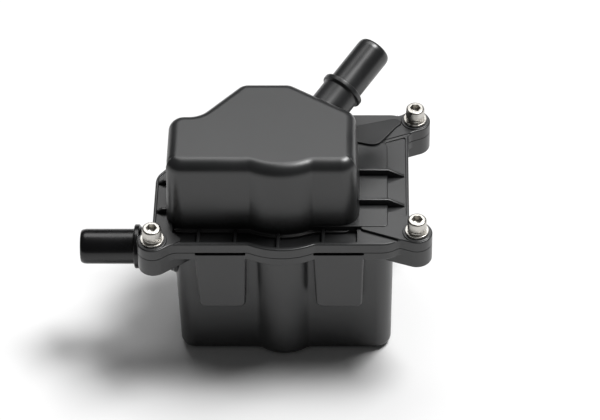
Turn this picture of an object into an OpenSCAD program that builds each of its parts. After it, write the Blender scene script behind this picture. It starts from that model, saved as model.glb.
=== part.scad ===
// Oil catch can for an engine bay: a moulded reservoir closed by a domed, ribbed cover.
// Plan sizes run from the front edge of the flange and from the centre line of the front
// bulge, heights run from the parting plane, and place() moves them to the centre of the base.

/* [Flange] */
// Left edge of the flange, from the centre line of the bulge
flange_left = 57.5; // [55:0.5:62]
// Right edge of the flange, from the centre line of the bulge
flange_right = 56.7; // [55:0.1:62]
// Depth of the flange from its front edge to its back edge
flange_d = 85.6; // [82:0.1:92]
// Where the slanted back left edge leaves the left edge
flange_slant_y = 44; // [38:1:50]
// Where the slanted back left edge meets the back edge, left of the centre line
flange_slant_x = 24; // [18:1:30]
// Thickness of the rim of the cover's flange
cover_rim_t = 5.2; // [4.6:0.1:6]
// Thickness of the reservoir's flange
can_flange_t = 4.3; // [3.8:0.1:5]
// Width of the bulge on the flange
flange_bulge_w = 29.6; // [26:0.1:32]
// How far the bulge stands out of the flange
flange_bulge_p = 3.4; // [2:0.1:4]

/* [Reservoir] */
// Height of the reservoir below the parting plane
can_h = 68.5; // [62:0.5:80]
// Gap from the flange's left edge to the reservoir's wall
can_left_gap = 10; // [8:0.5:12]
// Gap from the flange's right edge to the reservoir's wall
can_right_gap = 7.3; // [6.5:0.1:9]
// Gap from the flange's front edge to the reservoir's wall
can_front_gap = 5; // [4.6:0.1:5.5]
// Gap from the flange's back edge to the reservoir's wall
can_back_gap = 6.1; // [5.5:0.1:8]
// Wall of the reservoir
can_wall = 2.6; // [2.4:0.1:3]
// Floor of the reservoir
can_floor = 3; // [2.4:0.1:4]
// Radius of the reservoir's upright corners
can_corner_r = 10; // [9:0.5:12]
// Radius of the edge round the reservoir's base
can_base_r = 4.5; // [3.5:0.1:5]
// How far the walls lean in over the reservoir's height
can_draft = 0.9; // [0.4:0.1:1.2]
// Width of the reservoir's bulge
can_bulge_w = 21; // [19:0.5:23]
// How far the reservoir's bulge stands out
can_bulge_p = 3.8; // [3:0.1:4]

/* [Front pads] */
// Width of a pad at its top
pad_top_w = 22.4; // [20:0.1:23]
// Width of a pad at its foot
pad_foot_w = 20.5; // [18:0.1:21]
// Height of a pad
pad_h = 33; // [28:0.5:38]
// Centre of the left pad, left of the centre line
pad_left_x = 27.2; // [26.4:0.1:28]
// Centre of the right pad, right of the centre line
pad_right_x = 25.3; // [25:0.1:28]
// Height of the slot between a pad and the cover's flange
pad_slot_h = 1.3; // [0.8:0.1:1.6]
// Depth of that slot
pad_slot_d = 2.2; // [1.5:0.1:2.4]
// How far the pad's face stands behind the flange's front edge
pad_set_back = 0.3; // [0.1:0.1:1]

/* [Dome] */
// Height of the dome above the parting plane
dome_h = 42; // [38:0.5:48]
// Gap from the flange's left edge to the dome's foot
dome_left_gap = 6.5; // [6:0.1:8]
// Gap from the flange's front edge to the dome's foot
dome_front_gap = 11.4; // [10.5:0.1:12.5]
// Width of the dome's foot
dome_w = 85.6; // [80:0.1:88]
// Depth of the dome's foot at its left side
dome_left_d = 36.2; // [33:0.1:38]
// Depth of the dome's foot at its middle
dome_mid_d = 56.9; // [54:0.1:60]
// Depth of the dome's foot at its right side
dome_right_d = 37.4; // [35:0.1:40]
// Length of the straight left part of the back wall
dome_step_w = 13.3; // [11:0.1:15]
// Left end of the deep back wall, left of the centre line
dome_back_left_x = 19.2; // [17:0.1:21]
// Right end of the deep back wall, right of the centre line
dome_back_right_x = 4.1; // [2:0.1:6]
// Wall of the dome
dome_wall = 2.8; // [2.4:0.1:3.2]
// Radius of the dome's upright corners
dome_corner_r = 8.5; // [8:0.1:10]
// Radius of the edge round the dome's top
dome_edge_r = 5; // [4:0.1:5.5]
// How far the dome's walls lean in
dome_draft = 1.6; // [0.8:0.1:2]
// Width of the dome's bulge
dome_bulge_w = 28.3; // [26:0.1:30]
// How far the dome's bulge stands out
dome_bulge_p = 3.2; // [2:0.1:3.6]
// Width of the raised band round the dome's foot
foot_band_w = 1.5; // [1:0.1:2]
// Height of that band
foot_band_h = 3.4; // [3:0.1:4]

/* [Cover details] */
// Floor of the channel in front of the dome
channel_floor = 2; // [1.6:0.1:2.4]
// Width of the rim in front of the channel
channel_rim_w = 2; // [1.6:0.1:2.6]
// Floor of the strips beside the dome
strip_floor = 4.2; // [3.6:0.1:4.4]
// Width of the rim beside those strips
strip_rim_w = 1.3; // [1:0.1:1.8]
// Height of the raised plateau right of the dome
plateau_h = 5.9; // [5.4:0.1:6.6]
// Width of the plateau past the dome's foot
plateau_w = 13; // [11:0.5:14]
// Thickness of the ribs
rib_t = 1.6; // [1.2:0.1:2.2]
// Height of the right ribs
rib_h = 8.9; // [7.5:0.1:10]
// Height of the left ribs
left_rib_h = 7; // [6:0.1:8]
// Height of the ribs across the front channel
front_rib_h = 4.6; // [3.8:0.1:5]
// Height of the hump by the back right ear
hump_h = 8.2; // [7:0.1:9]

/* [Ears] */
// Radius of an ear
ear_r = 6.9; // [6.4:0.1:7.5]
// Thickness of an ear on the cover
cover_ear_t = 6.2; // [6:0.1:7]
// Thickness of an ear on the reservoir
can_ear_t = 9.3; // [9.2:0.1:11]
// Thickness of an ear's arm on the cover
cover_arm_t = 5.6; // [5.3:0.1:5.9]

/* [Fasteners] */
// Diameter of the screws
screw_d = 5; // [5:0.1:5.2]
// Length of the screws under the head
screw_len = 16; // [15:0.5:16.5]
// Diameter of the screw heads
head_d = 8.5; // [8:0.1:9]
// Height of the screw heads
head_h = 5; // [4.6:0.1:5.4]
// Width across the flats of the hexagon socket
socket_af = 4; // [3.5:0.1:4.2]
// Depth of the hexagon socket
socket_depth = 2.6; // [2:0.1:3]
// Thickness of the spring lock washers
lock_washer_t = 1.3; // [1:0.1:1.6]
// Diameter of the spring lock washers
lock_washer_d = 8.4; // [8:0.1:9]
// Thickness of the flat washers
flat_washer_t = 1; // [0.8:0.1:1.2]
// Diameter of the flat washers
flat_washer_d = 10.5; // [10:0.1:11]
// Diameter of the sleeves that take the clamping load through the cover
sleeve_d = 7.2; // [7:0.1:7.6]
// Diameter of the threaded inserts in the reservoir
insert_d = 6.8; // [6.6:0.1:7.4]
// Length of the threaded inserts
insert_len = 7; // [6:0.1:7.6]

/* [Hose ports] */
// Diameter of the tube that takes the quick connector
tube_d = 15.82; // [15.7:0.01:16]
// Diameter of the retaining bead
bead_d = 19.9; // [19:0.1:20.5]
// Diameter of the tube below the bead
stem_d = 17.4; // [16.6:0.1:18]
// Diameter of the passage
passage_d = 12.4; // [11:0.1:12.8]
// Length of the tube past the bead
tube_len = 25.5; // [23:0.5:30]
// Distance from the parting plane down to the inlet's axis
inlet_drop = 15; // [14.8:0.1:20]
// Distance from the flange's front edge to the inlet's axis
inlet_y = 19.5; // [19.3:0.1:26]
// Distance from the reservoir's wall to the middle of the inlet's bead
inlet_stem = 18; // [17:0.5:21]
// Plan direction of the outlet, turned from the right towards the back
outlet_turn = 52; // [48:1:58]
// Rise of the outlet above the level
outlet_rise = 18.3; // [16:0.1:22]
// Distance from the dome's wall to the middle of the outlet's bead
outlet_stem = 14.5; // [13:0.1:18]
// Height of the outlet's root above the parting plane
outlet_root_z = 30.4; // [29:0.1:31]
// Distance along the slanted wall from its right end to the outlet's root
outlet_along = 18.8; // [17:0.1:20]

/* [Inside] */
// Width of the sealing cord
seal_w = 2.2; // [2:0.1:2.4]
// Depth of the groove that holds the sealing cord
seal_depth = 1.9; // [1.5:0.1:2.2]
// Gap from the flange's edge to the middle of the sealing cord
seal_gap = 4.3; // [4.2:0.1:4.4]
// Thickness of the baffle tray
tray_t = 2; // [1.6:0.1:2.4]
// Width of the ledge that carries the tray
tray_ledge = 0.9; // [0.7:0.1:1]
// Depth of the tray's deflector wall below its plate
deflector_h = 30; // [24:1:36]
// Thickness of the plate that holds the mesh
retainer_t = 1.2; // [1:0.1:1.5]
// Height of the mesh pack
mesh_h = 17; // [12:0.5:20]

/* [Hidden] */
CORNERS = ["front_left", "front_right", "back_right", "back_left"];
SHELL_NODES = ["reservoir", "cover", "seal", "baffle_tray", "mesh_retainer", "mesh_pack", "inlet_spigot"];
FASTENER_NODES = [
    for (kind = ["cap_screw", "lock_washer", "flat_washer", "clamp_sleeve", "threaded_insert"])
        for (corner = CORNERS) str(kind, "_", corner)
];

eps = 0.01;
arc_steps = 6;
edge_steps = 5;
round_fn = 64;
fit_gap = 0.1;
press_gap = 0.05;
slide_gap = 0.3;
blend_r = 3;
flank_gap = 0.5;

plastic = [0.16, 0.16, 0.17];
gloss_black = [0.05, 0.05, 0.055];
steel = [0.72, 0.71, 0.69];
brass = [0.75, 0.6, 0.3];
rubber_black = [0.08, 0.08, 0.08];
mesh_grey = [0.5, 0.5, 0.5];

function unit(v) = v / norm(v);

// Slope at the foot of a bulge, its corner points and their radii
function bulge_slope(w, p) = 2 * atan(2 * p / w);
function bulge_points(w, p, y) =
    [[-w / 2, y], [0, y - w / 2 * tan(bulge_slope(w, p))], [w / 2, y]];
function bulge_radii(w, p) =
    let (slope = bulge_slope(w, p))
    [blend_r, (w / 2 / cos(slope) - blend_r * tan(slope / 2)) / tan(slope) - flank_gap, blend_r];

// Plan points of the rounded corner b between a and c, moved inward by inset
function corner_arc(a, b, c, r, inset) =
    let (
        along = unit(b - a),
        ahead = unit(c - b),
        sweep = atan2(cross(along, ahead), along * ahead),
        side = sign(sweep),
        centre = b + unit(ahead - along) * r / cos(sweep / 2),
        first = atan2(-along.x, along.y),
        reach = side * r - inset
    )
    [for (k = [0:arc_steps])
        let (t = first + sweep * k / arc_steps)
        centre + reach * [cos(t), sin(t)]];

// Closed outline with rounded corners, moved inward by inset
function outline(corners, inset) =
    let (n = len(corners))
    [for (i = [0:n - 1])
        each corner_arc(corners[(i + n - 1) % n][0], corners[i][0], corners[(i + 1) % n][0],
            corners[i][1], inset)];

// Corners paired with their radii
function paired(points, radii) = [for (i = [0:len(points) - 1]) [points[i], radii[i]]];

// Slanted back left edge of the flange: its start, direction and outward normal
slant_from = [-flange_left, flange_slant_y];
slant_dir = unit([-flange_slant_x, flange_d] - slant_from);
slant_out = [-slant_dir.y, slant_dir.x];
function slant_start(gap) = slant_from - gap * slant_out;
function slant_at_x(x, gap) = [x, slant_start(gap).y + (x - slant_start(gap).x) * slant_dir.y / slant_dir.x];
function slant_at_y(y, gap) = [slant_start(gap).x + (y - slant_start(gap).y) * slant_dir.x / slant_dir.y, y];

flange_corners = paired(
    concat([[-flange_left, 0]], bulge_points(flange_bulge_w, flange_bulge_p, 0),
        [[flange_right, 0], [flange_right, flange_d], [-flange_slant_x, flange_d], slant_from]),
    concat([8], bulge_radii(flange_bulge_w, flange_bulge_p), [13, 8, 12, 10]));

can_left = -flange_left + can_left_gap;
can_right = flange_right - can_right_gap;
can_back = flange_d - can_back_gap;
can_slant_gap = 7.5;
can_corners = paired(
    concat([[can_left, can_front_gap]], bulge_points(can_bulge_w, can_bulge_p, can_front_gap),
        [[can_right, can_front_gap], [can_right, can_back],
        slant_at_y(can_back, can_slant_gap), slant_at_x(can_left, can_slant_gap)]),
    concat([can_corner_r], bulge_radii(can_bulge_w, can_bulge_p),
        [can_corner_r, can_corner_r, can_corner_r, can_corner_r]));

dome_left = -flange_left + dome_left_gap;
dome_right = dome_left + dome_w;
dome_mid_y = dome_front_gap + dome_mid_d;
dome_left_y = dome_front_gap + dome_left_d;
dome_slant_right = [dome_right, dome_front_gap + dome_right_d];
dome_slant_left = [dome_back_right_x, dome_mid_y];
dome_corners = paired(
    concat([[dome_left, dome_front_gap]], bulge_points(dome_bulge_w, dome_bulge_p, dome_front_gap),
        [[dome_right, dome_front_gap], dome_slant_right, dome_slant_left, [-dome_back_left_x, dome_mid_y],
        [dome_left + dome_step_w, dome_left_y], [dome_left, dome_left_y]]),
    concat([dome_corner_r], bulge_radii(dome_bulge_w, dome_bulge_p),
        [dome_corner_r, dome_corner_r, dome_corner_r, dome_corner_r, 8, dome_corner_r]));

// Ear centres, and for each ear the two ends of its arm on the cover and on the reservoir
ear_centres = [
    [-flange_left + 0.5, 2.2],
    [flange_right + 3.3, 7.6],
    [flange_right + 3.3, flange_d - 4.6],
    slant_from + 25 * slant_dir + 2.8 * slant_out
];
slant_arm = [slant_from + 35 * slant_dir - 3 * slant_out, slant_from + 13 * slant_dir - 3 * slant_out];
ear_arm_ends = [
    [[can_left + 1.5, 1.5], [can_left + 1.5, 9]],
    [[can_right - 2.4, 6.5], [can_right - 1.4, 19]],
    [[can_right - 2.9, flange_d - 15.1], [can_right - 3.4, can_back - 1.5]],
    slant_arm
];
ear_arm_r = 1.5;
ear_step = 0.5;

// Solid between parallel outlines, one for each [height, inset] level
module loft(corners, levels) {
    rings = [for (level = levels) outline(corners, level[1])];
    m = len(rings[0]);
    top = len(levels) - 1;
    points = [for (j = [0:top]) for (p = rings[j]) [p.x, p.y, levels[j][0]]];
    floor_face = [[for (i = [0:m - 1]) i]];
    roof_face = [[for (i = [m - 1:-1:0]) top * m + i]];
    walls = [for (j = [0:top - 1]) for (i = [0:m - 1])
        [j * m + i, (j + 1) * m + i, (j + 1) * m + (i + 1) % m, j * m + (i + 1) % m]];
    polyhedron(points, concat(floor_face, walls, roof_face));
}

// Levels of a wall that rounds over at its top, or at its foot
function round_top(z0, z1, inset, draft, r) =
    concat([[z0, inset]],
        [for (k = [0:edge_steps]) let (t = 90 * k / edge_steps)
            [z1 - r + r * sin(t), inset + draft + r - r * cos(t)]]);
function round_foot(z0, z1, inset, draft, r) =
    concat(
        [for (k = [0:edge_steps]) let (t = 90 * k / edge_steps)
            [z0 + r - r * cos(t), inset + draft + r - r * sin(t)]],
        [[z1, inset]]);

module place() {
    translate([0, -flange_d / 2, can_h]) children();
}

module slab(z0, z1) {
    translate([0, 0, z0]) linear_extrude(z1 - z0) children();
}

module ear_plan(i) {
    hull() {
        translate(ear_centres[i]) circle(ear_r, $fn = round_fn);
        for (end = ear_arm_ends[i]) translate(end) circle(ear_arm_r, $fn = round_fn / 2);
    }
}

module ears(z0, z1) {
    for (i = [0:3]) slab(z0, z1) ear_plan(i);
}

module at_ears() {
    for (centre = ear_centres) translate(centre) children();
}

// Upright slab drawn in X and Z, from y back over a given thickness
module upright(y, t) {
    translate([0, y + t, 0]) rotate([90, 0, 0]) linear_extrude(t) children();
}

// Half outline of a hose tube from its root to its rounded tip, bead in the middle
bead_half = 1.3;
bead_slope = 0.7;
tip_len = 3;
tip_in = 1.2;
function tube_outer(root) =
    concat(
        [[stem_d / 2, -root], [stem_d / 2, -bead_half - bead_slope], [bead_d / 2, -bead_half],
        [bead_d / 2, bead_half], [tube_d / 2, bead_half + bead_slope / 2]],
        [for (k = [0:arc_steps]) let (t = 90 * k / arc_steps)
            [tube_d / 2 - tip_in + tip_in * cos(t), tube_len - tip_len + tip_len * sin(t)]]);

inlet_boss_t = 2;
inlet_boss_r = 11;
inlet_plug_r = 7.5;
inlet_inner_lip = 0.5;
module at_inlet() {
    translate([can_left - inlet_stem, inlet_y, -inlet_drop]) rotate([0, -90, 0]) children();
}

// The outlet leaves the dome's slanted right back wall
outlet_wall_dir = unit(dome_slant_left - dome_slant_right);
outlet_wall_out = [outlet_wall_dir.y, -outlet_wall_dir.x];
outlet_wall_inset = dome_draft * outlet_root_z / (dome_h - dome_edge_r);
outlet_root = dome_slant_right + outlet_along * outlet_wall_dir - outlet_wall_inset * outlet_wall_out;
outlet_inner_lip = 6;
module at_outlet() {
    translate([outlet_root.x, outlet_root.y, outlet_root_z])
        rotate([0, 90 - outlet_rise, outlet_turn]) translate([0, 0, outlet_stem]) children();
}

pad_back = can_front_gap + 1.2;
module pad(x) {
    upright(pad_set_back, pad_back - pad_set_back)
        polygon([
            [x - pad_top_w / 2, -pad_slot_h], [x - pad_foot_w / 2, -pad_slot_h - pad_h],
            [x + pad_foot_w / 2, -pad_slot_h - pad_h], [x + pad_top_w / 2, -pad_slot_h]]);
}

module pad_slot(x) {
    translate([x - pad_top_w / 2, -eps, -pad_slot_h]) cube([pad_top_w, pad_slot_d + eps, pad_slot_h + eps]);
}

tray_recess = tray_t + fit_gap;
groove_half = seal_w / 2 + 0.2;
insert_hole_depth = insert_len + 1.3;

module ring_plan(corners, near, far) {
    difference() {
        polygon(outline(corners, near));
        polygon(outline(corners, far));
    }
}

module reservoir_outside() {
    loft(can_corners, round_foot(-can_h, -eps, 0, can_draft, can_base_r));
    slab(-can_flange_t, 0) polygon(outline(flange_corners, 0));
    ears(-can_ear_t, 0);
    pad(-pad_left_x);
    pad(pad_right_x);
    at_inlet() translate([0, 0, -inlet_stem - can_wall / 2])
        cylinder(h = can_wall / 2 + inlet_boss_t, r = inlet_boss_r, $fn = round_fn);
}

module reservoir() {
    place() color(plastic) difference() {
        reservoir_outside();
        loft(can_corners,
            round_foot(-can_h + can_floor, eps, can_wall, can_draft, can_base_r - can_wall));
        slab(-tray_recess, 1) polygon(outline(can_corners, can_wall - tray_ledge));
        slab(-seal_depth, 1) ring_plan(flange_corners, seal_gap - groove_half, seal_gap + groove_half);
        pad_slot(-pad_left_x);
        pad_slot(pad_right_x);
        at_inlet() translate([0, 0, -inlet_stem - 3 * can_wall])
            cylinder(h = 6 * can_wall, r = inlet_plug_r + press_gap, $fn = round_fn);
        at_ears() translate([0, 0, -insert_hole_depth])
            cylinder(h = insert_hole_depth + 1, d = insert_d + 2 * press_gap, $fn = round_fn);
    }
}

channel_left_x = -43;
channel_notch = [53.5, 3.2];
module channel_zone() {
    intersection() {
        polygon(outline(flange_corners, channel_rim_w));
        polygon([
            [channel_left_x, -flange_d], [channel_notch.x, -flange_d], channel_notch,
            [dome_right, dome_front_gap + 4.5], [dome_right, dome_mid_y / 2],
            [dome_left + 4, dome_mid_y / 2], [dome_left + 4, dome_front_gap + 1.5]]);
    }
}

strip_right_x = dome_right + plateau_w - 1.2;
module strip_zones() {
    intersection() {
        polygon(outline(flange_corners, strip_rim_w));
        union() {
            polygon([
                [strip_right_x, 21.5], [flange_right, 17.5], [flange_right, flange_d - 14.8],
                [strip_right_x, flange_d - 18.8]]);
            polygon([
                [-flange_left, 14], [dome_left, 14], [dome_left, dome_left_y], [-flange_left, dome_left_y]]);
        }
    }
}

foot_band_slope = 0.4;
// Height in the plate at which what stands on it begins
root_z = 1;
front_rib_xs = [-36.9, -20.6, 18.4];
bulge_rib_x = -1.5;
right_rib_ys = [25, 43.7];
left_rib_ys = [20.7, 39.2];
plateau_corners = paired(
    [[1, dome_front_gap + 1], [dome_right + plateau_w - 1, dome_front_gap + 1],
    [dome_right + plateau_w - 1, flange_d - 19.8], [1, flange_d - 19.8]],
    [0.5, 3, 3, 0.5]);
hump_corners = paired(
    [[29, flange_d - 20], [dome_right + 7, flange_d - 24], [dome_right + 17.5, flange_d - 10],
    [flange_right, flange_d - 5.6], [dome_right + 16, flange_d - 2.6], [29, flange_d - 9]],
    [2, 6, 5, 3, 3, 2]);
hump_inset = 1;

module front_rib(x, y) {
    translate([x - rib_t / 2, y, 0]) cube([rib_t, dome_front_gap + 1 - y, front_rib_h]);
}

module cover_details() {
    slab(root_z, plateau_h) polygon(outline(plateau_corners, 0));
    slab(root_z, hump_h) polygon(outline(hump_corners, hump_inset));
    for (y = right_rib_ys)
        upright(y, rib_t)
            polygon([
                [dome_right - 2, 0], [dome_right - 2, rib_h], [dome_right + plateau_w, rib_h],
                [flange_right - 2, strip_floor + 0.3], [flange_right - 2, 0]]);
    for (y = left_rib_ys)
        upright(y, rib_t)
            polygon([
                [dome_left + 2, 0], [dome_left + 2, left_rib_h], [dome_left - 2, left_rib_h],
                [-flange_left + strip_rim_w, strip_floor + 0.3], [-flange_left + strip_rim_w, 0]]);
    for (x = front_rib_xs) front_rib(x, channel_rim_w / 2);
    front_rib(bulge_rib_x, channel_rim_w / 2 - flange_bulge_p);
}

module cover_outside() {
    difference() {
        slab(0, cover_rim_t) polygon(outline(flange_corners, 0));
        slab(channel_floor, cover_rim_t + 1) channel_zone();
        slab(strip_floor, cover_rim_t + 1) strip_zones();
    }
    loft(dome_corners, concat(
        [[root_z, -foot_band_w], [foot_band_h - foot_band_slope, -foot_band_w]],
        round_top(foot_band_h, dome_h, 0, dome_draft, dome_edge_r)));
    cover_details();
    ears(0, cover_arm_t);
    at_ears() cylinder(h = cover_ear_t, r = ear_r - ear_step, $fn = round_fn);
}

module cover() {
    place() color(plastic) difference() {
        union() {
            difference() {
                cover_outside();
                loft(dome_corners,
                    round_top(-eps, dome_h - dome_wall, dome_wall, dome_draft, dome_edge_r - dome_wall));
                slab(-1, retainer_t) polygon(outline(dome_corners, dome_wall - retainer_ledge));
            }
            at_outlet() rotate_extrude($fn = round_fn)
                polygon(concat([[0, -outlet_stem - outlet_inner_lip]],
                    tube_outer(outlet_stem + outlet_inner_lip), [[0, tube_len]]));
        }
        at_outlet() translate([0, 0, -outlet_stem - outlet_inner_lip - 1])
            cylinder(h = outlet_stem + outlet_inner_lip + tube_len + 2, d = passage_d, $fn = round_fn);
        at_ears() translate([0, 0, -1])
            cylinder(h = cover_ear_t + 2, d = sleeve_d + 2 * press_gap, $fn = round_fn);
    }
}

module seal() {
    place() color(rubber_black)
        slab(-seal_depth, 0) ring_plan(flange_corners, seal_gap - seal_w / 2, seal_gap + seal_w / 2);
}

tray_slot_xs = [-2, 8, 18, 28, 38];
tray_slot = [4, 30];
module slot_plan(centre, size) {
    translate(centre) {
        square([size.x, size.y - size.x], center = true);
        for (end = [-1, 1]) translate([0, end * (size.y - size.x) / 2]) circle(d = size.x, $fn = round_fn / 2);
    }
}

deflector_x = 16;
deflector_t = 2;
module baffle_tray() {
    place() color(plastic) {
        slab(-tray_recess, -fit_gap) difference() {
            polygon(outline(can_corners, can_wall - tray_ledge + fit_gap));
            for (x = tray_slot_xs) slot_plan([x, flange_d / 2 + 12], tray_slot);
        }
        translate([can_left + deflector_x, can_front_gap + can_wall + 2, -tray_recess - deflector_h])
            cube([deflector_t, inlet_y + 12 - can_front_gap, deflector_h + tray_t / 2]);
    }
}

retainer_ledge = 1.5;
retainer_slot = [4, 20];
retainer_slot_count = 8;
module mesh_retainer() {
    place() color(plastic) slab(0, retainer_t) difference() {
        polygon(outline(dome_corners, dome_wall - retainer_ledge + fit_gap));
        for (k = [0:retainer_slot_count - 1])
            slot_plan([dome_left + dome_w * (k + 1) / (retainer_slot_count + 1), dome_front_gap + dome_left_d / 2],
                retainer_slot);
    }
}

module mesh_pack() {
    mesh_top = retainer_t + mesh_h;
    place() color(mesh_grey) slab(retainer_t, mesh_top)
        polygon(outline(dome_corners, dome_wall + slide_gap + dome_draft * mesh_top / (dome_h - dome_edge_r)));
}

module inlet_spigot() {
    plug_root = inlet_stem + can_wall + inlet_inner_lip;
    shoulder = inlet_stem - inlet_boss_t;
    place() color(gloss_black) at_inlet() rotate_extrude($fn = round_fn)
        polygon(concat(
            [[passage_d / 2, -plug_root], [inlet_plug_r, -plug_root], [inlet_plug_r, -shoulder]],
            tube_outer(shoulder), [[passage_d / 2, tube_len]]));
}

washer_z = cover_ear_t + flat_washer_t;
head_z = washer_z + lock_washer_t;
head_chamfer = 0.5;
module cap_screw(i) {
    place() color(steel) translate([ear_centres[i].x, ear_centres[i].y, head_z]) difference() {
        union() {
            translate([0, 0, -screw_len]) cylinder(h = screw_len + eps, d = screw_d, $fn = round_fn);
            rotate_extrude($fn = round_fn)
                polygon([
                    [0, 0], [head_d / 2, 0], [head_d / 2, head_h - head_chamfer],
                    [head_d / 2 - head_chamfer, head_h], [0, head_h]]);
        }
        translate([0, 0, head_h - socket_depth])
            cylinder(h = socket_depth + 1, r = socket_af / 2 / cos(30), $fn = 6);
    }
}

module ring(outer_d, inner_d, t) {
    difference() {
        cylinder(h = t, d = outer_d, $fn = round_fn);
        translate([0, 0, -1]) cylinder(h = t + 2, d = inner_d, $fn = round_fn);
    }
}

screw_clearance = 0.3;
split_w = 0.8;
module lock_washer(i) {
    place() color(steel) translate([ear_centres[i].x, ear_centres[i].y, washer_z]) difference() {
        ring(lock_washer_d, screw_d + screw_clearance, lock_washer_t);
        rotate(40 + 90 * i) translate([lock_washer_d / 2, 0, lock_washer_t / 2]) rotate([30, 0, 0])
            cube([lock_washer_d, split_w, 4 * lock_washer_t], center = true);
    }
}

module flat_washer(i) {
    place() color(steel) translate([ear_centres[i].x, ear_centres[i].y, cover_ear_t])
        ring(flat_washer_d, screw_d + screw_clearance, flat_washer_t);
}

module clamp_sleeve(i) {
    place() color(steel) translate(ear_centres[i]) ring(sleeve_d, screw_d + 2 * screw_clearance, cover_ear_t);
}

module threaded_insert(i) {
    place() color(brass) translate([ear_centres[i].x, ear_centres[i].y, -insert_len])
        ring(insert_d, screw_d + 2 * press_gap, insert_len);
}

reservoir();
cover();
seal();
baffle_tray();
mesh_retainer();
mesh_pack();
inlet_spigot();
for (i = [0:3]) {
    cap_screw(i);
    lock_washer(i);
    flat_washer(i);
    clamp_sleeve(i);
    threaded_insert(i);
}
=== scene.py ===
import math

import bmesh
import bpy
import numpy as np
from mathutils import Matrix, Vector


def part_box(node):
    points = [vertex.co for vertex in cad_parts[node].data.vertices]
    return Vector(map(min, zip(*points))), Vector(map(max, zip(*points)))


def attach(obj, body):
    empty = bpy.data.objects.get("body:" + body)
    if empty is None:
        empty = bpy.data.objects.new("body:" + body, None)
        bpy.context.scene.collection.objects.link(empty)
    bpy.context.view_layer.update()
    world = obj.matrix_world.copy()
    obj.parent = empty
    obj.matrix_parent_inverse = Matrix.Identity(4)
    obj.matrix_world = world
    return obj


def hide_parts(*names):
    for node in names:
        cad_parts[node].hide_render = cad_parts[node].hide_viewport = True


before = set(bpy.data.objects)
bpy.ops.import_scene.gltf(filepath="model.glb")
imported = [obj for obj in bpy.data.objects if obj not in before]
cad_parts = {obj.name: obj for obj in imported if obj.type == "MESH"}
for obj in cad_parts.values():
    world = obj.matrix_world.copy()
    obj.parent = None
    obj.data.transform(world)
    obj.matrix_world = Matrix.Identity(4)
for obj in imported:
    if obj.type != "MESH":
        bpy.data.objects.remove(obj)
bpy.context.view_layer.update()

# Sizes are in millimetres, in the drawing's own axes: X from the centre line of the bulge,
# Y from the front edge of the flange, Z from the parting plane. to_row() turns them into the
# frame's metres, and the reservoir's box in the frame says how high the parting plane lies.
MM = 0.001
FLANGE_DEPTH = 85.6
CAN_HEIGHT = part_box("reservoir")[1][2] / MM
DRAWING_ORIGIN = np.array([0, -FLANGE_DEPTH / 2, CAN_HEIGHT])

ARC_STEP = math.radians(6)
ROUND_POINTS = 96
WELD_METRES = 1e-7
CREASE = math.radians(34)
# How far a cutter runs past what it cuts, and how far from the parting plane the parts that
# stand on either flange start inside it
CUT_CLEAR, ROOT_Z = 1, 1

# Flange

RIM_T, CAN_FLANGE_T = 5.2, 4.3
FLANGE_LEFT, FLANGE_RIGHT = -57.5, 56.7
FLANGE_R, FLANGE_FRONT_RIGHT_R, SLANT_FROM_R, SLANT_TO_R = 8, 13, 10, 12
SLANT_FROM = Vector((FLANGE_LEFT, 44))
SLANT_TO = Vector((-24, FLANGE_DEPTH))
SLANT = (SLANT_TO - SLANT_FROM).normalized()
SLANT_OUT = Vector((-SLANT.y, SLANT.x))
SEAL_OUTER_GAP, SEAL_INNER_GAP, SEAL_DEPTH = 3, 5.6, 1.9

# Each bulge has a width and a depth
FLANGE_BULGE = (29.6, 3.4)
CAN_BULGE = (23, 3.7)
DOME_BULGE = (28.3, 3.2)
BULGE_BLEND = 3

# Can

CAN_LEFT, CAN_RIGHT, CAN_FRONT = FLANGE_LEFT + 9, FLANGE_RIGHT - 7, 5
CAN_BACK = FLANGE_DEPTH - 6.1
CAN_SLANT_GAP = 7.5
CAN_WALL, CAN_FLOOR, CAN_DRAFT, CAN_CORNER_R, CAN_BASE_R = 2.6, 3, 0.9, 8, 3.8
TRAY_SEAT_W, TRAY_SEAT_DEPTH = 0.9, 2.1
PADS_X = (-27.2, 25.3)
PAD_TOP_W, PAD_FOOT_W, PAD_TOP_Z, PAD_FOOT_Z, PAD_FRONT = 22.8, 20.7, 0.3, -34.3, -0.15
PAD_EDGE_R, PAD_TOP_R, PAD_FOOT_R, PAD_ROOT, PAD_DRAFT = 1.2, 1.3, 3, 1.2, 0.3
PAD_SLOT_W, PAD_SLOT_LOW, PAD_SLOT_HIGH, PAD_SLOT_DEPTH, PAD_SLOT_R = 22.4, -1.4, 0.4, 2.2, 0.3

# Dome

DOME_LEFT, DOME_RIGHT = FLANGE_LEFT + 5.8, 34.6
DOME_STEP_X = DOME_LEFT + 14
DOME_FRONT, DOME_STEP_Y, DOME_RIGHT_Y, DOME_BACK = 11.4, 48, 48.8, 69.2
DOME_BACK_LEFT_X, DOME_BACK_RIGHT_X = -19.2, 4.1
DOME_TOP, DOME_DRAFT, DOME_CORNER_R, DOME_EDGE_R, DOME_WALL = 42, 1.6, 8.5, 5, 2.8
DOME_FRONT_DRAFT, DOME_FRONT_EDGE_R = 0.4, 5.8
DOME_STEP_R, DOME_FOOT_R = 8, 0.7
FOOT_BAND_W, FOOT_BAND_H, FOOT_BAND_EDGE_R, FOOT_BAND_SLOPE = 1.5, 3.4, 0.4, 0.1
RETAINER_SEAT_INSET, RETAINER_SEAT_DEPTH = 1.3, 1.2

# Cover

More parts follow.
